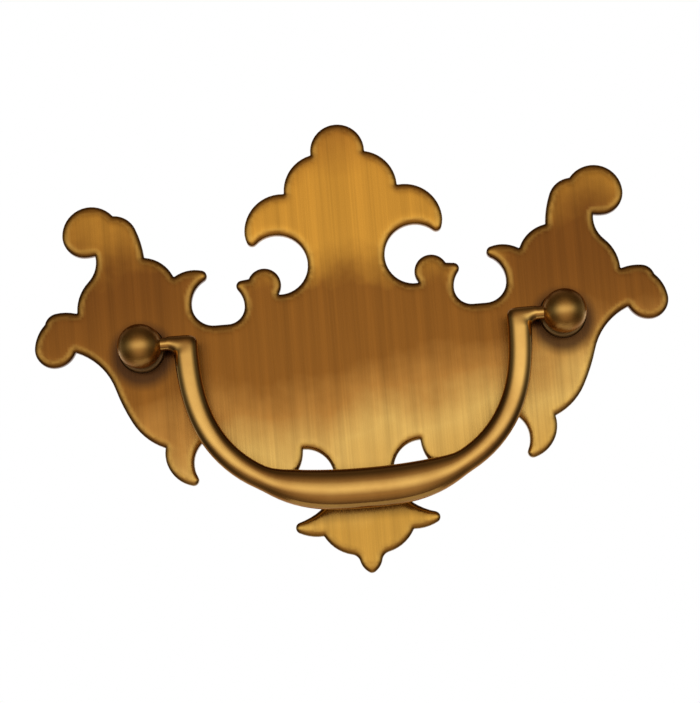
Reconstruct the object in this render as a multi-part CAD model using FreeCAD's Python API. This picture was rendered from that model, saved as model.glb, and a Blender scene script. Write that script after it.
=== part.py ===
import FreeCAD, Part
import math
import os

# Bail pull for a drawer: a scrolled backplate, a swelled bail that swings from two ball-headed posts,
# and the washers and nuts that hold the posts behind the drawer front.
# X runs along the drawer, Y into the drawer front, Z up. The origin is midway between the posts,
# on the back face of the plate.

# Driving sizes, in millimetres
post_spacing = 76.2          # between the two posts
drawer_front = 19.0          # wood held between the plate and the washers

plate_thickness = 2.2
crest_rise = 38.3            # top of the crest above the line of the posts
pendant_drop = 43.55         # point of the pendant below that line, before it is rounded
tip_radius = 1.0             # rounding of the points of the scrolls
cusp_radius = 0.2            # rounding where two lobes meet
rim_radius = 0.8             # rolled front edge of the plate

ball_radius = 4.0
ball_stand = 7.8             # centre of the ball in front of the plate's back face
neck_radius = 2.5
neck_hollow = 0.25
collar_radius = 4.3
collar_thickness = 0.9
collar_round = 0.4
shoulder_radius = 2.5        # part of the post that sits in the plate
shank_radius = 2.2           # plain part in the drawer front
thread_radius = 2.0
thread_length = 12.5
thread_spare = 2.5           # thread left beyond the nut
thread_chamfer = 0.4

washer_radius = 4.75
washer_thickness = 0.8
nut_across_flats = 7.0
nut_thickness = 3.2
nut_chamfer_slope = 30.0     # degrees, on the nut's outer corners

pin_radius = 1.15
pin_engagement = 2.7         # length of pin inside the ball
pin_chamfer = 0.2
bail_drop = 28.6             # middle of the bar below the pins
leg_set_in = 8.25            # leg's centre line inboard of the ball's centre
leg_width = 4.3
leg_depth = 3.8
leg_top = 1.35               # top of the leg above the pin's axis
leg_corner = 1.2             # rounding of the leg's inner top corner
bar_width = 7.2              # swelled middle of the bar, seen from the front
bar_depth = 5.6
swell_reach = 18.0           # half length of the swelling
bail_squareness = 2.6        # exponent of the bail's superellipse, 2 is a plain ellipse
section_squareness = 2.4     # the same for its cross section
root_reach = 1.4             # hollow under the pin, how far it runs out from the leg
root_drop = 2.6              # and how far it has dropped below the pin where it ends inside the leg
root_sink = 0.8              # depth of that end inside the leg

pin_clearance = 0.05
pin_end_gap = 0.4
plate_hole_clearance = 0.1
washer_clearance = 0.15
nut_clearance = 0.05

# Places that follow from them
half_spacing = post_spacing / 2
outline_unit = post_spacing / 100
collar_front = plate_thickness + collar_thickness
pin_tip_x = half_spacing - ball_radius + pin_engagement
leg_x = half_spacing - leg_set_in
leg_face_x = leg_x + leg_width / 2
washer_back = drawer_front + washer_thickness
nut_back = washer_back + nut_thickness
stud_end = nut_back + thread_spare
thread_start = stud_end - thread_length

# Limits for reading the outline
tiny = 0.001                 # shorter lengths count as none
sharp_turn = 0.5             # radians, a point of a scroll turns the outline by more
smooth_turn = 0.05           # radians, walls that meet by less are smooth
rim_limit = 0.85             # largest rim, as a share of the wall it rolls

# How finely the bail is sectioned
section_points = 12
bail_steps = 24              # from the pin to the middle of the bar
root_steps = 3
root_depth_share = 0.38      # depth of the hollow's inner end, as a share of the leg's
root_overlap = 0.03          # how far its outer end lies inside the pin
corner_spread = 1.1          # size of the leg corner's arc, above 1 so that it crosses the leg's sides


def vector(x, y, z):
    return FreeCAD.Vector(x, y, z)


def on_crest(x, below_top):
    return x * outline_unit, crest_rise - below_top * outline_unit


def on_wing(beyond_post, z):
    return half_spacing + beyond_post * outline_unit, z * outline_unit


def on_pendant(x, above_point):
    return x * outline_unit, above_point * outline_unit - pendant_drop


# Right half of the plate's outline, clockwise from the top of the crest, in hundredths of the spacing of
# the posts. Each row is a point and the rise of the arc that leads to it, as a share of half the chord:
# above 0 bulges outwards, below 0 is hollow, and None carries on smoothly from the arc before.
half_outline = [
    (on_crest(6.43, 6.96), None),           # round top of the crest
    (on_crest(13.52, 15.75), 0.36),         # shoulder
    (on_crest(23.62, 24.02), 0.43),         # wing
    (on_crest(22.18, 28.48), None),         # point of the wing
    (on_crest(16.54, 25.46), -0.25),        # hollow under the wing
    (on_crest(9.25, 33.73), None),
    (on_wing(-33.2, 10.56), None),
    (on_wing(-26.51, 14.83), 1.12),         # bird's head
    (on_wing(-21.92, 14.04), 0.05),         # beak
    (on_wing(-25.07, 8.66), -0.27),         # hollow between beak and horn
    (on_wing(-20.87, 4.46), None),
    (on_wing(-17.72, 4.46), None),
    (on_wing(-12.53, 9.65), None),
    (on_wing(-18.64, 16.14), None),         # point of the horn
    (on_wing(-8.79, 16.8), 0.335),
    (on_wing(-2.1, 22.05), 0.27),           # neck of the scroll
    (on_wing(-0.52, 29.13), 0.08),
    (on_wing(4.59, 32.68), None),
    (on_wing(16.93, 28.61), 0.70),          # round head of the scroll
    (on_wing(12.07, 23.29), None),
    (on_wing(9.45, 23.49), None),
    (on_wing(11.55, 17.32), -0.25),         # back of the neck
    (on_wing(14.7, 9.97), None),
    (on_wing(19.82, 10.43), 0.12),          # side lobe
    (on_wing(22.57, 8.01), None),
    (on_wing(25.33, 2.62), 0.17),
    (on_wing(21.13, -2.49), None),
    (on_wing(15.75, 0.79), None),
    (on_wing(6.96, -8.79), -0.23),          # side of the body
    (on_wing(3.54, -17.06), None),
    (on_wing(-3.81, -23.62), None),
    (on_wing(-12.47, -33.2), 0.53),         # tail
    (on_wing(-13.39, -22.57), -0.50),
    (on_pendant(18.37, 23.65), 0.3),        # lower lobe, behind the bail
    (on_pendant(15.94, 24.9), None),
    (on_pendant(13.91, 30.51), None),
    (on_pendant(7.09, 23.03), -0.44),       # hollow above the pendant
    (on_pendant(12.07, 15.03), None),
    (on_pendant(18.9, 12.73), None),        # arm of the pendant
    (on_pendant(10.63, 9.65), 0.22),
    (on_pendant(4.33, 4.79), 0.22),         # pendant
    (on_pendant(2.62, 3.08), None),
    (on_pendant(0.0, 0.0), None),
]


def turned(direction, angle):
    c, s = math.cos(angle), math.sin(angle)
    return direction[0] * c - direction[1] * s, direction[0] * s + direction[1] * c


def angle_between(first, second):
    across = first[0] * second[1] - first[1] * second[0]
    along = first[0] * second[0] + first[1] * second[1]
    return math.atan2(across, along)


def outline_arcs():
    # Start, middle and end of each arc of the right half, and the points of the scrolls, seen from the front.
    arcs = []
    points = []
    start = (0.0, crest_rise)
    heading = (1.0, 0.0)
    for end, rise in half_outline:
        chord = (end[0] - start[0], end[1] - start[1])
        length = math.hypot(*chord)
        unit = (chord[0] / length, chord[1] / length)
        if rise is None:
            rise = math.tan(angle_between(unit, heading) / 2)
        elif angle_between(turned(unit, 2 * math.atan(rise)), heading) > sharp_turn:
            points.append(start)
        middle = (
            (start[0] + end[0] - chord[1] * rise) / 2,
            (start[1] + end[1] + chord[0] * rise) / 2,
        )
        arcs.append((start, middle, end))
        heading = turned(unit, -2 * math.atan(rise))
        start = end
    points.append(start)
    return arcs, points


def arc_edge(start, middle, end, side):
    a, m, b = [vector(side * x, 0, z) for x, z in (start, middle, end)]
    if (m - (a + b) * 0.5).Length < tiny:
        return Part.makeLine(a, b)
    return Part.Arc(a, m, b).toShape()


def upright_edges(solid):
    return [edge for edge in solid.Edges if abs(edge.BoundBox.DiagonalLength - plate_thickness) < tiny]


def is_corner(solid, edge):
    # True where the two walls beside an upright edge meet at an angle.
    place = edge.valueAt(edge.FirstParameter)
    walls = solid.ancestorsOfType(edge, Part.Face)
    normals = [wall.normalAt(*wall.Surface.parameter(place)) for wall in walls]
    return normals[0].getAngle(normals[1]) > smooth_turn


def make_backplate():
    arcs, points = outline_arcs()
    edges = [arc_edge(*arc, 1) for arc in arcs]
    edges += [arc_edge(end, middle, start, -1) for start, middle, end in reversed(arcs)]
    plate = Part.Face(Part.Wire(edges)).extrude(vector(0, -plate_thickness, 0))

    scroll_points = [vector(side * x, 0, z) for x, z in points for side in (1, -1)]
    tips = []
    for edge in upright_edges(plate):
        foot = vector(edge.Vertexes[0].X, 0, edge.Vertexes[0].Z)
        if min((foot - point).Length for point in scroll_points) < tiny:
            tips.append(edge)
    plate = plate.makeFillet(tip_radius, tips)
    cusps = [edge for edge in upright_edges(plate) if is_corner(plate, edge)]
    plate = plate.makeFillet(cusp_radius, cusps)

    rim = min(rim_radius, tip_radius * rim_limit, plate_thickness * rim_limit)
    front = [edge for edge in plate.Edges if edge.BoundBox.YMax < tiny - plate_thickness]
    plate = plate.makeFillet(rim, front)
    for side in (1, -1):
        hole_radius = shoulder_radius + plate_hole_clearance
        start = vector(side * half_spacing, -plate_thickness, 0)
        plate = plate.cut(Part.makeCylinder(hole_radius, plate_thickness, start, vector(0, 1, 0)))
    return plate


def make_post(side):
    ball_back = -ball_stand + math.sqrt(ball_radius ** 2 - neck_radius ** 2)
    neck_middle = (ball_back - collar_front) / 2
    ball_front = -ball_stand - ball_radius
    ball_side = vector(ball_radius, -ball_stand, 0)
    neck_at_ball = vector(neck_radius, ball_back, 0)
    neck_at_collar = vector(neck_radius, -collar_front, 0)
    turned_down = [
        (collar_radius - collar_round, -collar_front),
        (collar_radius, -collar_front + collar_round),
        (collar_radius, -plate_thickness),
        (shoulder_radius, -plate_thickness),
        (shoulder_radius, 0),
        (shank_radius, 0),
        (shank_radius, thread_start),
        (thread_radius, thread_start),
        (thread_radius, stud_end - thread_chamfer),
        (thread_radius - thread_chamfer, stud_end),
        (0, stud_end),
        (0, ball_front),
    ]
    edges = [
        Part.Arc(vector(0, ball_front, 0), ball_side, neck_at_ball).toShape(),
        Part.Arc(neck_at_ball, vector(neck_radius - neck_hollow, neck_middle, 0), neck_at_collar).toShape(),
    ]
    last = neck_at_collar
    for radius, y in turned_down:
        step = vector(radius, y, 0)
        edges.append(Part.makeLine(last, step))
        last = step
    post = Part.Face(Part.Wire(edges)).revolve(vector(0, 0, 0), vector(0, 1, 0), 360)
    post.translate(vector(side * half_spacing, 0, 0))

    hole_depth = pin_engagement + pin_end_gap
    mouth = vector(side * (half_spacing - 2 * ball_radius), -ball_stand, 0)
    hole = Part.makeCylinder(pin_radius + pin_clearance, ball_radius + hole_depth, mouth, vector(side, 0, 0))
    return post.cut(hole)


def superellipse(angle, exponent):
    # Point on a squared circle of radius 1.
    c, s = math.cos(angle), math.sin(angle)
    power = 2 / exponent
    return math.copysign(abs(c) ** power, c), math.copysign(abs(s) ** power, s)


def section(centre, across, half_width, half_depth, exponent):
    # Closed smooth curve round a centre. Across lies in the bail's plane, the depth runs along Y.
    ring = []
    for i in range(section_points):
        u, v = superellipse(2 * math.pi * i / section_points, exponent)
        ring.append(centre + across * (u * half_width) + vector(0, v * half_depth, 0))
    curve = Part.BSplineCurve()
    curve.interpolate(Points=ring, PeriodicFlag=True, Parameters=list(range(section_points + 1)))
    return Part.Wire(curve.toShape())


def swelling(x):
    # Share of the bar's extra size at a place along it, full in the middle and none at the swelling's ends.
    reach = min(abs(x) / swell_reach, 1)
    return (1 - reach ** 4) ** 1.5


def bail_section(side, share):
    # Section of the right or left half, at a share of the way from the pin to the middle of the bar.
    size = ((1 - share) ** bail_squareness + share ** bail_squareness) ** (1 / bail_squareness)
    u, v = (1 - share) / size, share / size
    x, z = leg_x * u, -bail_drop * v
    power = bail_squareness - 1
    across = vector(side * u ** power / leg_x, 0, -v ** power / bail_drop).normalize()
    half_width = (leg_width + (bar_width - leg_width) * swelling(x)) / 2
    half_depth = (leg_depth + (bar_depth - leg_depth) * swelling(x)) / 2
    height = leg_top if share == 0 else z
    return section(vector(side * x, -ball_stand, height), across, half_width, half_depth, section_squareness)


def make_root():
    # Flare that carries the right pin into its leg, hollow on its underside.
    rings = []
    for i in range(root_steps + 1):
        share = i / root_steps
        fade = (1 - share) ** 2
        overlap = root_overlap * share
        x = leg_face_x - root_sink + (root_sink + root_reach) * share
        centre = vector(x, -ball_stand, -fade * root_drop / 2)
        half_height = pin_radius + fade * root_drop / 2 - overlap
        half_depth = pin_radius + fade * (leg_depth * root_depth_share - pin_radius) - overlap
        rings.append(section(centre, vector(0, 0, 1), half_height, half_depth, 2))
    return Part.makeLoft(rings, True)


def make_pin():
    pin = Part.makeCylinder(pin_radius, pin_tip_x - leg_x, vector(leg_x, -ball_stand, 0), vector(1, 0, 0))
    tip = [edge for edge in pin.Edges if edge.BoundBox.XMin > pin_tip_x - tiny]
    return pin.makeChamfer(pin_chamfer, tip)


def make_corner():
    # Waste outside the rounded inner corner at the top of the right leg.
    inner_x = leg_x - leg_width / 2
    front, deep = -ball_stand - leg_depth, 2 * leg_depth
    size = 2 * leg_corner
    waste = Part.makeBox(size, deep, size, vector(inner_x - leg_corner, front, leg_top - leg_corner))
    middle = vector(inner_x + leg_corner, front, leg_top - leg_corner)
    return waste.cut(Part.makeCylinder(leg_corner * corner_spread, deep, middle, vector(0, 1, 0)))


def with_mirror(shape):
    return [shape, shape.mirror(vector(0, 0, 0), vector(1, 0, 0))]


def make_bail():
    shares = [i / bail_steps for i in range(bail_steps + 1)]
    rings = [bail_section(1, share) for share in shares]
    rings += [bail_section(-1, share) for share in reversed(shares[:-1])]
    bail = Part.makeLoft(rings, True)
    bail = bail.fuse(with_mirror(make_root()) + with_mirror(make_pin()))
    return bail.cut(with_mirror(make_corner()))


def make_washer(side):
    start = vector(side * half_spacing, drawer_front, 0)
    along = vector(0, 1, 0)
    washer = Part.makeCylinder(washer_radius, washer_thickness, start, along)
    return washer.cut(Part.makeCylinder(thread_radius + washer_clearance, washer_thickness, start, along))


def make_nut(side):
    corner_radius = nut_across_flats / math.sqrt(3)
    start = vector(side * half_spacing, washer_back, 0)
    along = vector(0, 1, 0)
    corners = []
    for i in range(7):
        turn = i * math.pi / 3
        corners.append(start + vector(corner_radius * math.sin(turn), 0, corner_radius * math.cos(turn)))
    nut = Part.Face(Part.makePolygon(corners)).extrude(along * nut_thickness)

    face_radius = nut_across_flats / 2
    skirt_radius = face_radius + nut_thickness / math.tan(math.radians(nut_chamfer_slope))
    nut = nut.common(Part.makeCone(skirt_radius, face_radius, nut_thickness, start, along))
    return nut.cut(Part.makeCylinder(thread_radius + nut_clearance, nut_thickness, start, along))


os.makedirs("parts", exist_ok=True)
pieces = {"backplate": make_backplate(), "bail": make_bail()}
for name, side in (("left", -1), ("right", 1)):
    pieces["post_" + name] = make_post(side)
    pieces["washer_" + name] = make_washer(side)
    pieces["nut_" + name] = make_nut(side)
for node, shape in pieces.items():
    shape.exportStep("parts/" + node + ".step")
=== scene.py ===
import math
import bmesh
import bpy
from mathutils import Matrix, Vector, noise
from mathutils.bvhtree import BVHTree
from mathutils.geometry import delaunay_2d_cdt
from mathutils.kdtree import KDTree


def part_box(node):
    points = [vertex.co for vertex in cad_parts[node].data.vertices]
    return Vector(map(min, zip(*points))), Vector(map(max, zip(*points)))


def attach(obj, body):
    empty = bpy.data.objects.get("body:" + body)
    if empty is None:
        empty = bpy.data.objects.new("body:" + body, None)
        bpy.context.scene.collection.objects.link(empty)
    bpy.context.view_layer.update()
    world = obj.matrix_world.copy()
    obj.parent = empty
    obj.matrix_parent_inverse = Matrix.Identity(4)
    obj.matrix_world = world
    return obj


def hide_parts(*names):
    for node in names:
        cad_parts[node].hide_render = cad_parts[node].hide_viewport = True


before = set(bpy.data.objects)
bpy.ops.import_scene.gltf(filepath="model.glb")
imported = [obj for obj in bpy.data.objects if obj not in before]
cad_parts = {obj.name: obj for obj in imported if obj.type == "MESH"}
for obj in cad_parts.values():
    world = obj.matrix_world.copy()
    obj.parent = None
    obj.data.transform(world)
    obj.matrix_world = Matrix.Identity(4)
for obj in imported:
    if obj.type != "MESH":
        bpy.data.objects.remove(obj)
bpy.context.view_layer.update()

mm = 0.001
postSpacing = 76.2 * mm
pinY = -7.8 * mm  # the ball centres and pins stand this far in front of the plate's back
solidMerge = 0.001 * mm  # joins the loose triangles of a solid
pieceMerge = 0.002 * mm


def clamp(value):
    return min(1, max(0, value))


def between(start, end, share):
    return start + (end - start) * share


def fromPost(x, z):  # distance from the axis of the nearer post
    return math.hypot(abs(x) - postSpacing / 2, z)


# materials

brass = {  # the same on every piece
    "coatRough": 0.22,
    "streakWidth": 7,  # times the fine lines
    "streakSpan": (0.3, 0.62), "roughSpan": (0.3, 0.7),  # noise values between which the look changes
    "bumpDepth": 0.03 * mm,
}


def addNode(tree, kind, place, **settings):
    node = tree.nodes.new(kind)
    node.location = place
    for name, value in settings.items():
        if hasattr(node, name):
            setattr(node, name, value)
        else:
            node.inputs[name.replace("_", " ")].default_value = value
    return node


def feed(tree, socket, source):  # a link from another node, or a fixed value
    if isinstance(source, bpy.types.NodeSocket):
        tree.links.new(source, socket)
    else:
        socket.default_value = source


def spanNode(tree, place, source, span, to=(0, 1), interpolation="LINEAR"):
    node = addNode(tree, "ShaderNodeMapRange", place, interpolation_type=interpolation,
                   From_Min=span[0], From_Max=span[1], To_Min=to[0], To_Max=to[1])
    feed(tree, node.inputs["Value"], source)
    return node.outputs["Result"]


def mathNode(tree, place, operation, *sources):
    node = addNode(tree, "ShaderNodeMath", place, operation=operation)
    for socket, source in zip(node.inputs, sources):
        feed(tree, socket, source)
    return node.outputs["Value"]


def mixNode(tree, place, factor, base, other, blend="MIX"):
    node = addNode(tree, "ShaderNodeMix", place, data_type="RGBA", blend_type=blend)
    feed(tree, node.inputs["Factor"], factor)
    feed(tree, node.inputs["A"], base)
    feed(tree, node.inputs["B"], other)
    return node.outputs["Result"]


def rampNode(tree, place, source, stops):
    node = addNode(tree, "ShaderNodeValToRGB", place)
    elements = node.color_ramp.elements
    while len(elements) < len(stops):
        elements.new(0.5)
    for element, (position, colour) in zip(elements, stops):
        element.position = position
        element.color = (*colour, 1)
    feed(tree, node.inputs["Fac"], source)
    return node.outputs["Color"]


def noiseNode(tree, place, coords, scale, detail, roughness=0.5):
    node = addNode(tree, "ShaderNodeTexNoise", place, Scale=scale, Detail=detail, Roughness=roughness)
    feed(tree, node.inputs["Vector"], coords)
    return node.outputs["Fac"]


def drawnOut(tree, place, coords, scale):  # stretches a noise along the brush
    node = addNode(tree, "ShaderNodeMapping", place, Scale=scale)
    feed(tree, node.inputs["Vector"], coords)
    return node.outputs["Vector"]


def zoneTones(tree, zones, coords, clouds):
    # tone by height on the piece, a painted reflection of the studio's bands (bright crest, dark middle band, pale
    # lower body), with the clouds as drift, and how much darker and greyer the outer scrolls are painted
    parts = addNode(tree, "ShaderNodeSeparateXYZ", (-1900, -850))
    feed(tree, parts.inputs["Vector"], coords)
    x, z = parts.outputs["X"], parts.outputs["Z"]
    outward = mathNode(tree, (-1700, -850), "ABSOLUTE", x)
    far = spanNode(tree, (-1500, -850), outward, zones["outer"], interpolation="SMOOTHSTEP")
    upper = spanNode(tree, (-1500, -1100), z, zones["upper"], interpolation="SMOOTHSTEP")
    outerDimmed = mathNode(tree, (-1300, -900), "MULTIPLY", far, upper)
    lower = spanNode(tree, (-1500, -450), upper, (0, 1), (zones["lean"], 0))
    leaning = mathNode(tree, (-1300, -450), "MULTIPLY_ADD", x, lower, z)  # painted reflection: paler to the right low down
    half = zones["drift"] / 2
    height = spanNode(tree, (-1150, -450), leaning, zones["height"], (-half, 1 - half))
    lowered = mathNode(tree, (-1200, -650), "MULTIPLY_ADD", outerDimmed, zones["outerShift"], height)
    return mathNode(tree, (-1000, -600), "MULTIPLY_ADD", clouds, zones["drift"], lowered), outerDimmed


def antiqueBrass(name, look):
    material = bpy.data.materials.new(name)
    material.use_nodes = True
    tree = material.node_tree
    shader = tree.nodes["Principled BSDF"]
    shader.inputs["Metallic"].default_value = 1
    shader.inputs["Anisotropic"].default_value = look["anisotropy"]
    shader.inputs["Coat Weight"].default_value = look["lacquer"]
    shader.inputs["Coat Roughness"].default_value = brass["coatRough"]
    coords = addNode(tree, "ShaderNodeTexCoord", (-1500, 0)).outputs["Object"]

    fine = drawnOut(tree, (-1300, 200), coords, look["brush"])
    lines = noiseNode(tree, (-1100, 200), fine, 1, 4, 0.6)
    broad = drawnOut(tree, (-1300, -100), coords, [each / brass["streakWidth"] for each in look["brush"]])
    streaks = noiseNode(tree, (-1100, -100), broad, 1, 3, 0.55)
    tone = noiseNode(tree, (-1100, -400), coords, look["clouds"], 4, 0.55)

    zones = look["zones"]
    # on the plate the tone follows height: painted reflection bands, with random clouds
    if zones:
        tone, outerDimmed = zoneTones(tree, zones, coords, tone)
    colour = rampNode(tree, (-850, -400), tone, look["tones"])
    shade = spanNode(tree, (-850, -50), streaks, brass["streakSpan"], (look["streak"], 1))
    colour = mixNode(tree, (-560, -200), 1, colour, shade, "MULTIPLY")
    if zones:
        # painted: the upper outer scrolls darker and greyer
        colour = mixNode(tree, (-450, -450), outerDimmed, colour, (*zones["outerTint"], 1), "MULTIPLY")
        wear = addNode(tree, "ShaderNodeAttribute", (-850, -600), attribute_name="wear")  # rubbed bright
        colour = mixNode(tree, (-400, -300), wear.outputs["Fac"], colour, (*zones["worn"], 1))
    if look["dark"]:
        paintedShade = addNode(tree, "ShaderNodeAttribute", (-850, -700), attribute_name="paintedShade")  # painted shade: dark line along the edge, painted shadows round the posts, behind the bar and between ball and plate
        colour = mixNode(tree, (-330, -300), paintedShade.outputs["Fac"], colour, (*look["dark"], 1))
    feed(tree, shader.inputs["Base Color"], colour)

    rough = spanNode(tree, (-560, 120), lines, brass["roughSpan"], look["rough"])
    feed(tree, shader.inputs["Roughness"], rough)
    bump = addNode(tree, "ShaderNodeBump", (-330, 350), Strength=look["bump"], Distance=brass["bumpDepth"])
    feed(tree, bump.inputs["Height"], lines)
    feed(tree, shader.inputs["Normal"], bump.outputs["Normal"])
    if look["anisotropy"]:
        across = addNode(tree, "ShaderNodeVectorTransform", (-330, 550), vector_type="VECTOR", Vector=look["across"])
        across.convert_from, across.convert_to = "OBJECT", "WORLD"
        feed(tree, shader.inputs["Tangent"], across.outputs["Vector"])
    return material


# pieces

def shapeOf(node):
    bm = bmesh.new()
    bm.from_mesh(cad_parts[node].data)
    bmesh.ops.remove_doubles(bm, verts=bm.verts, dist=solidMerge)
    return bm


def finishPiece(name, bm, body, material, node, sharpAngle):
    bmesh.ops.remove_doubles(bm, verts=bm.verts, dist=pieceMerge)
    bmesh.ops.recalc_face_normals(bm, faces=bm.faces)
    mesh = bpy.data.meshes.new(name)
    bm.to_mesh(mesh)
    bm.free()
    mesh.materials.append(material)
    if "custom_normal" in mesh.attributes:  # left over from the solid's mesh
        mesh.attributes.remove(mesh.attributes["custom_normal"])
    mesh.polygons.foreach_set("use_smooth", [True] * len(mesh.polygons))
    mesh.set_sharp_from_angle(angle=math.radians(sharpAngle))
    piece = bpy.data.objects.new(name, mesh)
    bpy.context.scene.collection.objects.link(piece)
    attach(piece, body)
    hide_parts(node)
    print("made", name, len(mesh.polygons), "faces")


def facesIn(geom):
    return [each for each in geom if isinstance(each, bmesh.types.BMFace)]


def vertsIn(geom):
    return [each for each in geom if isinstance(each, bmesh.types.BMVert)]


# backplate: the solid's outline, filled, thickened and rolled over at its front edge

plate = {
    "thickness": 2.2 * mm, "sharpAngle": 75,
    "cutY": -0.4 * mm, "cutReach": 0.0001 * mm, "cutMerge": 0.01 * mm,  # where the outline is taken from the solid
    "sampleStep": 0.06 * mm,  # along the outline, to measure distances from it
    "holeRadius": 2.6 * mm, "holeReach": 3.4 * mm, "holeBox": 3 * mm,  # room kept at the posts
    "pillowWidth": 1.4 * mm, "pillowRadius": 2.4 * mm,  # soft roll of the front edge
    "edgeRadius": 0.25 * mm,  # small round at the very edge
    "rows": [0.03, 0.05, 0.08, 0.12, 0.15, 0.17],  # mm, steps of the roll that follow the outline
    "rowMerge": 0.08 * mm,  # a row closes up where the outline turns tightly
    "pitch": 0.45 * mm, "rimGap": 0.22,  # field of points in front, and its gap in mm from the last row
    "backPitch": 1.6 * mm, "backGap": 0.9 * mm,
    "waveHeight": 0.02 * mm, "wavePitch": 15 * mm,
    "smoothFrom": 0.6 * mm, "smoothRounds": 3,
    "wear": 0.35,  # bright along the roll
    "rimDark": 0.6, "rimWidth": 0.4 * mm, "backDark": 0.2, "backRim": 0.1 * mm,  # painted shade: dark line along the edge
    "paintedShadow": {  # painted shadow round the posts, shifted down, and behind the bar, in mm
        "ringRadius": 6.6, "ringSoft": 1.9, "ringDrop": 1.1, "ringDark": 0.88,
        "bandReach": 17, "bandBottom": -34.2, "bottomSoft": 1.6, "bandTop": -23.4, "topSoft": 5, "bandDark": 0.5,
    },
    "look": {
        "tones": [  # painted reflection bands, from the pendant up: place, colour
            (0.14, (0.5, 0.26, 0.042)), (0.3, (0.62, 0.38, 0.1)),
            (0.39, (0.4, 0.18, 0.035)), (0.46, (0.245, 0.092, 0.012)),
            (0.58, (0.235, 0.087, 0.011)), (0.67, (0.57, 0.27, 0.034)),
            (0.78, (0.58, 0.27, 0.033)), (0.9, (0.4, 0.16, 0.02)),
        ],
        "zones": {
            "height": (-50 * mm, 50 * mm), "lean": -0.15, "drift": 0.2,
            "outer": (20 * mm, 36 * mm), "upper": (-10 * mm, 12 * mm),  # where the scrolls are painted darker and greyer
            "outerShift": -0.07, "outerTint": (0.75, 0.7, 0.7), "worn": (0.7, 0.42, 0.09),
        },
        # dark: the colour of the painted shade and painted shadows on the plate
        "dark": (0.045, 0.018, 0.006), "brush": (3200, 60, 45), "clouds": 60, "streak": 0.76,
        "rough": (0.2, 0.31), "bump": 0.25, "lacquer": 0.1,
        "anisotropy": 0.75, "across": (1, 0, 0),  # across the brush lines
    },
}


def rollAt(depth):  # how far the front lies back at a distance from the outline
    drop = 0
    for width, radius in ((plate["pillowWidth"], plate["pillowRadius"]), (plate["edgeRadius"], plate["edgeRadius"])):
        if depth < width:
            drop += radius - math.sqrt(radius ** 2 - (width - depth) ** 2)
    return drop


def paintedShadowAt(x, z):  # painted shadow: round the posts, lower down, and behind the bar
    dark = plate["paintedShadow"]
    away = math.hypot(abs(x) - postSpacing / mm / 2, z + dark["ringDrop"])
    ring = (dark["ringRadius"] - away) / dark["ringSoft"]
    band = 0
    if abs(x) < dark["bandReach"]:
        band = min((z - dark["bandBottom"]) / dark["bottomSoft"], (dark["bandTop"] - z) / dark["topSoft"])
    return max(dark["ringDark"] * clamp(ring), dark["bandDark"] * clamp(band))


def fillFlat(bm, y, pitch, keeps):
    # a flat side: an even field of points, joined to the open rims
    loops = [edge for edge in bm.edges if len(edge.link_faces) < 2]
    rim = list(dict.fromkeys(vert for edge in loops for vert in edge.verts))
    number = {vert: i for i, vert in enumerate(rim)}
    low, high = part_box("backplate")
    wide, tall = high.x - low.x, high.z - low.z
    middle = Matrix.Translation(((low.x + high.x) / 2, 0, (low.z + high.z) / 2))
    upright = Matrix.Rotation(math.pi / 2, 4, "X")
    grid = bmesh.ops.create_grid(bm, x_segments=int(wide / pitch), y_segments=int(tall / pitch), size=1,
                                 matrix=middle @ upright @ Matrix.Diagonal((wide / 2, tall / 2, 1, 1)))
    field = grid["verts"]
    kept = [vert.co.copy() for vert in field if keeps(vert.co)]
    bmesh.ops.delete(bm, geom=field, context="VERTS")
    points = [Vector((place.x, place.z)) for place in [vert.co for vert in rim] + kept]
    sides = [(number[edge.verts[0]], number[edge.verts[1]]) for edge in loops]
    flat, _, cells, origins, _, _ = delaunay_2d_cdt(points, sides, [], 1, 1e-8)  # 1 keeps what the rims enclose
    verts = []
    for place, origin in zip(flat, origins):
        if origin and origin[0] < len(rim):
            verts.append(rim[origin[0]])
        else:
            verts.append(bm.verts.new((place.x, y, place.y)))
    for cell in cells:
        if any(fromPost(*flat[i]) > plate["holeReach"] for i in cell):  # leaves the post holes open
            bm.faces.new([verts[i] for i in cell])


def outlineTree(bm):  # points along the outer outline
    samples = []
    for edge in bm.edges:
        start, end = edge.verts[0].co, edge.verts[1].co
        if abs(abs(start.x) - postSpacing / 2) < plate["holeBox"] and abs(start.z) < plate["holeBox"]:
            continue
        count = max(1, int((end - start).length / plate["sampleStep"]))
        samples += [start.lerp(end, i / count) for i in range(count)]
    tree = KDTree(len(samples))
    for i, point in enumerate(samples):
        tree.insert(point, i)
    tree.balance()
    return tree


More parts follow.
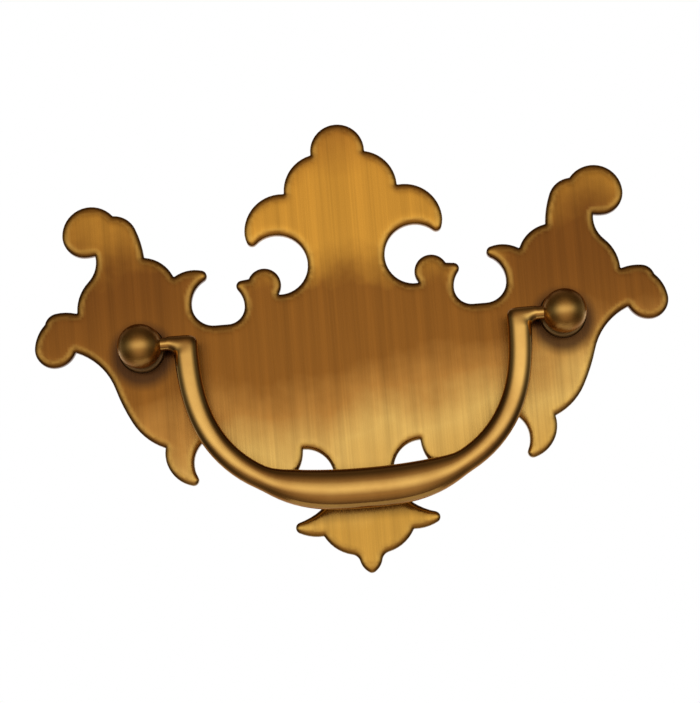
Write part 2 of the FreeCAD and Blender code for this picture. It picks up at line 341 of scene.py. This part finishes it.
def makeBackplate():
    bm = shapeOf("backplate")
    bmesh.ops.bisect_plane(bm, geom=[*bm.verts, *bm.edges, *bm.faces], dist=plate["cutReach"],
                           plane_co=(0, plate["cutY"], 0), plane_no=(0, 1, 0), clear_inner=True, clear_outer=True)
    bmesh.ops.remove_doubles(bm, verts=bm.verts, dist=plate["cutMerge"])
    for vert in bm.verts:
        vert.co.y = 0
    outline = outlineTree(bm)
    probe = bm.copy()  # filled roughly, to tell inside from outside
    bmesh.ops.triangle_fill(probe, use_beauty=False, edges=probe.edges)
    whole = BVHTree.FromBMesh(probe)
    probe.free()

    def keeps(point, margin):
        flat = Vector((point.x, 0, point.z))
        if outline.find(flat)[2] < margin or fromPost(point.x, point.z) < plate["holeRadius"] + margin:
            return False
        return whole.ray_cast(flat - Vector((0, 10 * mm, 0)), (0, 1, 0))[0] is not None

    fillFlat(bm, 0, plate["backPitch"], lambda point: keeps(point, plate["backGap"]))
    front = bmesh.ops.extrude_face_region(bm, geom=list(bm.faces))
    wallHeight = plate["thickness"] - rollAt(0)
    bmesh.ops.translate(bm, verts=vertsIn(front["geom"]), vec=(0, -wallHeight, 0))
    inner = facesIn(front["geom"])
    for step in plate["rows"]:
        bmesh.ops.inset_region(bm, faces=inner, thickness=step * mm, use_even_offset=False, use_boundary=True)
        members = set(inner)
        corners = dict.fromkeys(vert for face in inner for vert in face.verts)
        row = [vert for vert in corners if not members.issuperset(vert.link_faces)]
        bmesh.ops.remove_doubles(bm, verts=row, dist=plate["rowMerge"])
        inner = [face for face in inner if face.is_valid]
    bmesh.ops.delete(bm, geom=inner, context="FACES")
    frontGap = (sum(plate["rows"]) + plate["rimGap"]) * mm
    fillFlat(bm, -plate["thickness"], plate["pitch"], lambda point: keeps(point, frontGap))

    paintedShadeLayer = bm.verts.layers.float.new("paintedShade")
    wearLayer = bm.verts.layers.float.new("wear")
    inside = []
    for vert in bm.verts:
        depth = outline.find((vert.co.x, 0, vert.co.z))[2]
        if vert.co.y > -wallHeight / 2:  # the back stays flat
            vert[paintedShadeLayer] = plate["backDark"] if depth < plate["backRim"] else 0
            continue
        spot = Vector((vert.co.x, 0, vert.co.z)) / plate["wavePitch"]
        wave = (1 + noise.noise(spot)) * plate["waveHeight"]
        vert.co.y = min(-plate["thickness"] + rollAt(depth) + wave, -wallHeight)
        # painted shade: a dark line along the edge, and painted shadows round the posts and behind the bar
        rimDark = plate["rimDark"] - depth / plate["rimWidth"]
        vert[paintedShadeLayer] = max(0, rimDark, paintedShadowAt(vert.co.x / mm, vert.co.z / mm))
        vert[wearLayer] = plate["wear"] * math.sin(math.pi * min(1, depth / plate["pillowWidth"]))
        if depth > plate["smoothFrom"]:
            inside.append(vert)
    for _ in range(plate["smoothRounds"]):
        bmesh.ops.smooth_vert(bm, verts=inside, factor=0.5, use_axis_y=True)
    brushedBrass = antiqueBrass("brushedBrass", plate["look"])
    finishPiece("scrolledPlate", bm, "plate", brushedBrass, "backplate", plate["sharpAngle"])


makeBackplate()


# bail: one run of rings from the right pin, round the elbow, down the leg and along the bar to the left pin

bail = {
    "pinRadius": 1.15, "pinTip": 36.8, "pinChamfer": 0.2, "pinRings": [0.5, 1.6],  # mm, as all sizes here
    "legX": 29.85, "legWidth": 4.3, "legDepth": 3.8, "legTop": 1.3,
    "drop": 28.6, "barWidth": 7.2, "barDepth": 5.6,
    "swellReach": 18.0, "swellFlat": 4, "swellEase": 1.5,
    "squareness": 2.6,  # of the bail's curve
    "pinSection": 2, "legSection": 2.4, "barSection": 2.2, "sectionRun": 1.1,  # 2 is round, more is squarer
    "elbowX": 33.3, "elbowZ": -2.45, "elbowSquareness": 7, "elbowLead": 0.7,
    "ringPoints": 32, "elbowSteps": 14, "legSteps": 40, "sharpAngle": 60,
    "look": {
        "tones": [(0.36, (0.54, 0.29, 0.065)), (0.62, (0.68, 0.4, 0.1))], "zones": None, "dark": None,
        "brush": (260, 260, 260), "clouds": 90, "streak": 0.88, "rough": (0.14, 0.21), "bump": 0.06,
        "lacquer": 0.3, "anisotropy": 0,
    },
}


def bailStations():
    # centre x, centre z, direction across x and z, half width, half depth, squareness of the section
    pin, tip = bail["pinRadius"], bail["pinTip"]
    ends = [(tip, pin - bail["pinChamfer"]), (tip - bail["pinChamfer"], pin)]
    ends += [(tip - back, pin) for back in bail["pinRings"]]
    ends.append((bail["elbowX"] + bail["elbowLead"], pin))
    stations = [(x, 0, 0, 1, radius, radius, bail["pinSection"]) for x, radius in ends]

    inner = -pin - bail["elbowZ"]
    high = bail["legTop"] - bail["elbowZ"]
    wide = bail["elbowX"] - bail["legX"] + bail["legWidth"] / 2
    power = bail["elbowSquareness"]
    for i in range(bail["elbowSteps"] + 1):
        share = i / bail["elbowSteps"]
        turn = share * math.pi / 2
        outer = ((math.cos(turn) / high) ** power + (math.sin(turn) / wide) ** power) ** (-1 / power)
        if i == 0:
            outer = pin - bail["elbowZ"]  # meets the round pin
        middle = (outer + inner) / 2
        ease = share * share * (3 - 2 * share)
        depth = between(pin, bail["legDepth"] / 2, ease)
        square = between(bail["pinSection"], bail["legSection"], ease)
        stations.append((bail["elbowX"] - math.sin(turn) * middle, bail["elbowZ"] + math.cos(turn) * middle,
                         -math.sin(turn), math.cos(turn), (outer - inner) / 2, depth, square))

    first = -bail["elbowZ"] / bail["drop"]
    curve = bail["squareness"]
    for i in range(1, bail["legSteps"] + 1):
        share = first + (1 - first) * i / bail["legSteps"]
        size = ((1 - share) ** curve + share ** curve) ** (1 / curve)
        u, v = (1 - share) / size, share / size
        x, z = bail["legX"] * u, -bail["drop"] * v
        across = Vector((u ** (curve - 1) / bail["legX"], -v ** (curve - 1) / bail["drop"])).normalized()
        swell = (1 - min(x / bail["swellReach"], 1) ** bail["swellFlat"]) ** bail["swellEase"]
        width = between(bail["legWidth"], bail["barWidth"], swell) / 2
        depth = between(bail["legDepth"], bail["barDepth"], swell) / 2
        square = between(bail["legSection"], bail["barSection"], min(1, v * bail["sectionRun"]))
        stations.append((x, z, -across.x, -across.y, width, depth, square))
    mirrored = [(-x, z, -ax, *rest) for x, z, ax, *rest in stations[-2::-1]]
    return stations + mirrored


def makeBail():
    bm = bmesh.new()
    stations = bailStations()
    last = None
    for i, (x, z, ax, az, width, depth, square) in enumerate(stations):
        closed = i in (0, len(stations) - 1)
        ring = bmesh.ops.create_circle(bm, cap_ends=closed, segments=bail["ringPoints"], radius=1)["verts"]
        for vert in ring:  # squared circle
            size = (abs(vert.co.x) ** square + abs(vert.co.y) ** square) ** (1 / square)
            vert.co /= size
        along = Vector((ax, 0, az)).cross(Vector((0, 1, 0)))
        place = Matrix((
            (ax * width * mm, 0, along.x, x * mm),
            (0, depth * mm, along.y, pinY),
            (az * width * mm, 0, along.z, z * mm),
            (0, 0, 0, 1),
        ))
        bmesh.ops.transform(bm, matrix=place, verts=ring)
        members = set(ring)
        loop = [edge for edge in bm.edges if edge.verts[0] in members and edge.verts[1] in members]
        if last:
            bmesh.ops.bridge_loops(bm, edges=last + loop)
        last = loop
    castBrass = antiqueBrass("castBrass", bail["look"])
    finishPiece("swelledBail", bm, "bail", castBrass, "bail", bail["sharpAngle"])


makeBail()


# posts: a turned stem with collar, shank and thread, and a ball with its blind hole for the pin

post = {
    "ballRadius": 4.0, "ballRings": 32, "ballSteps": 64,  # mm, as all sizes here
    "holeRadius": 1.2, "holeDepth": 3.1, "holeCone": 0.3, "mouthChamfer": 0.15,
    "stem": [  # radius, y
        (0, -5.4), (1.9, -5.4), (2.5, -4.66), (2.36, -4.4), (2.27, -4.1), (2.25, -3.85),
        (2.28, -3.55), (2.38, -3.28), (2.5, -3.1),
        (3.88, -3.1), (4.06, -3.06), (4.2, -2.96), (4.28, -2.82), (4.3, -2.68), (4.3, -2.24), (4.26, -2.2),
        (2.5, -2.2), (2.5, -0.06), (2.44, 0), (2.2, 0), (2.2, 12.9), (2.1, 13.0), (1.6, 13.25), (1.6, 25.1),
        (1.25, 25.5), (0, 25.5),
    ],
    "stemSteps": 48, "sharpAngle": 35,
    "turns": 16, "stepsPerTurn": 24, "threadPitch": 0.7, "threadStart": 13.35,
    "threadCrest": 1.98, "threadRoot": 1.55, "toothBase": 0.46, "toothTop": 0.08,  # tooth in shares of the pitch
    "shadow": {"from": -7.2, "to": -2.1, "run": 2, "reach": 1.1, "dark": 0.85},  # painted shade between ball and plate
    "look": {
        "tones": [(0.36, (0.52, 0.27, 0.055)), (0.62, (0.66, 0.38, 0.09))], "zones": None,
        # dark: the colour of the painted shade between ball and plate
        "dark": (0.03, 0.012, 0.004), "brush": (60, 1500, 60), "clouds": 160, "streak": 0.88,
        "rough": (0.3, 0.38), "bump": 0.06, "lacquer": 0.3, "anisotropy": 0,
    },
}


def profileEdges(bm, points):
    verts = [bm.verts.new(point) for point in points]
    return verts + [bm.edges.new(pair) for pair in zip(verts, verts[1:])]


def addThread(bm, centre):
    pitch, root, crest = post["threadPitch"], post["threadRoot"], post["threadCrest"]
    base, top = post["toothBase"] * pitch, post["toothTop"] * pitch
    tooth = [(root, -base), (crest, -top), (crest, top), (root, base)]
    verts = [bm.verts.new(centre + Vector((radius * mm, (post["threadStart"] + y) * mm, 0))) for radius, y in tooth]
    face = bm.faces.new(verts)
    bmesh.ops.spin(bm, geom=[*verts, *face.edges, face], cent=centre, axis=(0, 1, 0),
                   angle=math.tau * post["turns"], steps=post["turns"] * post["stepsPerTurn"],
                   dvec=(0, pitch * mm / post["stepsPerTurn"], 0))


def addBall(bm, ball, inward):  # the hole's mouth faces the bail
    radius, hole, cut = post["ballRadius"], post["holeRadius"], post["mouthChamfer"]
    mouth = math.sqrt(radius ** 2 - (hole + cut) ** 2)
    bottom = radius - post["holeDepth"]
    points = [(bottom - post["holeCone"], 0), (bottom, hole), (mouth - cut, hole)]
    first = math.asin((hole + cut) / radius)
    for i in range(post["ballRings"] + 1):
        turn = first + (math.pi - first) * i / post["ballRings"]
        points.append((radius * math.cos(turn), radius * math.sin(turn)))
    points[-1] = (-radius, 0)
    profile = profileEdges(bm, [ball + Vector((inward * x * mm, 0, r * mm)) for x, r in points])
    bmesh.ops.spin(bm, geom=profile, cent=ball, axis=(1, 0, 0), angle=math.tau,
                   steps=post["ballSteps"], use_merge=True)


def makePost(sideName, side, material):
    bm = bmesh.new()
    centre = Vector((side * postSpacing / 2, 0, 0))
    stem = profileEdges(bm, [centre + Vector((radius * mm, y * mm, 0)) for radius, y in post["stem"]])
    bmesh.ops.spin(bm, geom=stem, cent=centre, axis=(0, 1, 0), angle=math.tau,
                   steps=post["stemSteps"], use_merge=True)
    addThread(bm, centre)
    ball = centre + Vector((0, pinY, 0))
    addBall(bm, ball, -side)
    paintedShadeLayer = bm.verts.layers.float.new("paintedShade")
    shadow = post["shadow"]
    reach = post["ballRadius"] * mm * shadow["reach"]
    for vert in bm.verts:
        y = vert.co.y / mm
        if shadow["from"] < y < shadow["to"] and math.hypot(vert.co.x - ball.x, vert.co.z) < reach:
            vert[paintedShadeLayer] = shadow["dark"] * clamp((y - shadow["from"]) / shadow["run"])
    finishPiece("post" + sideName.title(), bm, "plate", material, "post_" + sideName, post["sharpAngle"])


turnedBrass = antiqueBrass("turnedBrass", post["look"])
makePost("left", -1, turnedBrass)
makePost("right", 1, turnedBrass)


# washers and nuts behind the drawer front: the solids' shapes with their edges broken

fixings = {
    "washerBreak": 0.12 * mm, "nutBreak": 0.14 * mm, "breakSegments": 2,
    "flatAngle": 1, "cornerAngle": 20, "sharpAngle": 30,  # degrees
    "look": {
        "tones": [(0.36, (0.64, 0.4, 0.11)), (0.62, (0.74, 0.5, 0.17))], "zones": None, "dark": None,
        "brush": (900, 900, 900), "clouds": 220, "streak": 0.85, "rough": (0.22, 0.36), "bump": 0.15,
        "lacquer": 0.1, "anisotropy": 0,
    },
}


def makeFixing(node, name, size, material):
    bm = shapeOf(node)
    bmesh.ops.dissolve_limit(bm, angle_limit=math.radians(fixings["flatAngle"]), verts=bm.verts, edges=bm.edges)
    corners = [edge for edge in bm.edges if edge.calc_face_angle(0) > math.radians(fixings["cornerAngle"])]
    bmesh.ops.bevel(bm, geom=corners, offset=size, offset_type="OFFSET", segments=fixings["breakSegments"],
                    profile=0.5, affect="EDGES", clamp_overlap=True, material=-1)
    finishPiece(name, bm, "plate", material, node, fixings["sharpAngle"])


plainBrass = antiqueBrass("plainBrass", fixings["look"])
for sideName in ("left", "right"):
    makeFixing("washer_" + sideName, "washer" + sideName.title(), fixings["washerBreak"], plainBrass)
    makeFixing("nut_" + sideName, "nut" + sideName.title(), fixings["nutBreak"], plainBrass)


# floor, light and camera

studio = {
    "floorPlace": (0, 0.25, -0.7), "floorSize": 0.35, "floorColour": (0.86, 0.855, 0.84),
    "floorShade": 0.98, "floorGrain": 6, "floorRough": 0.9,
    "bands": [  # elevation in degrees, light that the metal sees in front of it
        (-90, (1.2, 0.85, 0.65)), (-75, (2.0, 1.4, 1.1)), (-60, (1.9, 1.4, 1.1)), (-45, (1.0, 0.74, 0.58)),
        (-25, (0.55, 0.42, 0.34)), (-12, (1.0, 0.92, 0.84)),
        (0, (1.45, 1.44, 1.4)), (8, (1.25, 1.21, 1.14)), (16, (0.95, 0.88, 0.8)), (28, (0.5, 0.38, 0.3)),
        (45, (0.55, 0.39, 0.3)), (90, (1.1, 0.78, 0.6)),
    ],
    "falloff": [  # y of the direction, share of the bands' light
        (-1, 1), (-0.9, 0.92), (-0.75, 0.47), (-0.55, 0.18), (-0.3, 0.08),
        (0.2, 0.09), (0.45, 0.3), (0.7, 0.65), (1, 0.85),
    ],
    "backdrop": (0.9, 0.97),  # y of the direction where the white behind the object starts
    "lampPlace": (-0.2, -0.25, 0.9), "lampTarget": (0, 0.1, -0.7), "lampSize": 0.7, "lampPower": 12,
    "lampColour": (1, 0.97, 0.93),
}
white = (1, 1, 1, 1)


def makeFloor():
    bm = bmesh.new()
    place = Matrix.Translation(studio["floorPlace"])
    bmesh.ops.create_grid(bm, x_segments=2, y_segments=2, size=studio["floorSize"], matrix=place)
    mesh = bpy.data.meshes.new("paleFloor")
    bm.to_mesh(mesh)
    bm.free()
    material = bpy.data.materials.new("paleFloor")
    material.use_nodes = True
    tree = material.node_tree
    shader = tree.nodes["Principled BSDF"]
    shader.inputs["Roughness"].default_value = studio["floorRough"]
    coords = addNode(tree, "ShaderNodeTexCoord", (-900, 0)).outputs["Object"]
    grain = noiseNode(tree, (-700, 0), coords, studio["floorGrain"], 3)
    pale = studio["floorColour"]
    shaded = [each * studio["floorShade"] for each in pale]
    feed(tree, shader.inputs["Base Color"], rampNode(tree, (-450, 0), grain, [(0.3, shaded), (0.7, pale)]))
    mesh.materials.append(material)
    floor = bpy.data.objects.new("paleFloor", mesh)
    bpy.context.scene.collection.objects.link(floor)


def makeSurround():
    world = bpy.data.worlds.new("studio")
    bpy.context.scene.world = world
    world.use_nodes = True
    tree = world.node_tree
    tree.nodes.clear()
    coords = addNode(tree, "ShaderNodeTexCoord", (-1300, 0))
    parts = addNode(tree, "ShaderNodeSeparateXYZ", (-1100, 0))
    feed(tree, parts.inputs["Vector"], coords.outputs["Generated"])
    y, z = parts.outputs["Y"], parts.outputs["Z"]
    rise = mathNode(tree, (-900, 100), "ARCSINE", z)
    height = spanNode(tree, (-700, 100), rise, (-math.pi / 2, math.pi / 2))
    bands = [((degrees + 90) / 180, light) for degrees, light in studio["bands"]]
    cards = rampNode(tree, (-500, 100), height, bands)
    around = spanNode(tree, (-900, -100), y, (-1, 1))
    shares = [((place + 1) / 2, [share] * 3) for place, share in studio["falloff"]]
    falloff = rampNode(tree, (-700, -100), around, shares)
    dimmed = mixNode(tree, (-400, 50), 1, cards, falloff, "MULTIPLY")
    behind = spanNode(tree, (-700, -400), y, studio["backdrop"], interpolation="SMOOTHSTEP")
    room = mixNode(tree, (-200, 50), behind, dimmed, white)
    rays = addNode(tree, "ShaderNodeLightPath", (-200, 350))
    seen = mixNode(tree, (50, 100), rays.outputs["Is Camera Ray"], room, white)
    glow = addNode(tree, "ShaderNodeBackground", (250, 100))
    feed(tree, glow.inputs["Color"], seen)
    out = addNode(tree, "ShaderNodeOutputWorld", (450, 100))
    feed(tree, out.inputs["Surface"], glow.outputs["Background"])


def makeLamp():
    lamp = bpy.data.lights.new("overheadLamp", "AREA")
    lamp.shape = "DISK"
    lamp.size = studio["lampSize"]
    lamp.energy = studio["lampPower"]
    lamp.color = studio["lampColour"]
    holder = bpy.data.objects.new("overheadLamp", lamp)
    holder.location = studio["lampPlace"]
    aim = Vector(studio["lampTarget"]) - Vector(studio["lampPlace"])
    holder.rotation_euler = aim.to_track_quat("-Z", "Y").to_euler()
    holder.visible_glossy = False  # lights the floor, and leaves the metal to the surroundings
    bpy.context.scene.collection.objects.link(holder)


shot = {
    "distance": 0.55, "pitch": -7.0, "yaw": 0.0, "roll": -4.8, "lens": 155.5, "sensor": 36, "clip": (0.01, 50),
    "target": (-0.70 * mm, 0, -3.21 * mm),
}


def makeCamera():
    camera = bpy.data.cameras.new("camera")
    camera.sensor_fit = "VERTICAL"
    camera.sensor_width = camera.sensor_height = shot["sensor"]
    camera.lens = shot["lens"]
    camera.clip_start, camera.clip_end = shot["clip"]
    holder = bpy.data.objects.new("camera", camera)
    pitch, yaw = math.radians(shot["pitch"]), math.radians(shot["yaw"])
    away = Vector((math.sin(yaw) * math.cos(pitch), -math.cos(yaw) * math.cos(pitch), math.sin(pitch)))
    holder.location = away * shot["distance"]
    facing = (Vector(shot["target"]) - holder.location).to_track_quat("-Z", "Y").to_matrix()
    holder.rotation_euler = (facing @ Matrix.Rotation(math.radians(shot["roll"]), 3, "Z")).to_euler()
    bpy.context.scene.collection.objects.link(holder)
    bpy.context.scene.camera = holder


makeFloor()
makeSurround()
makeLamp()
makeCamera()
bpy.context.scene.view_settings.view_transform = "Standard"
print("made floor, light and camera")
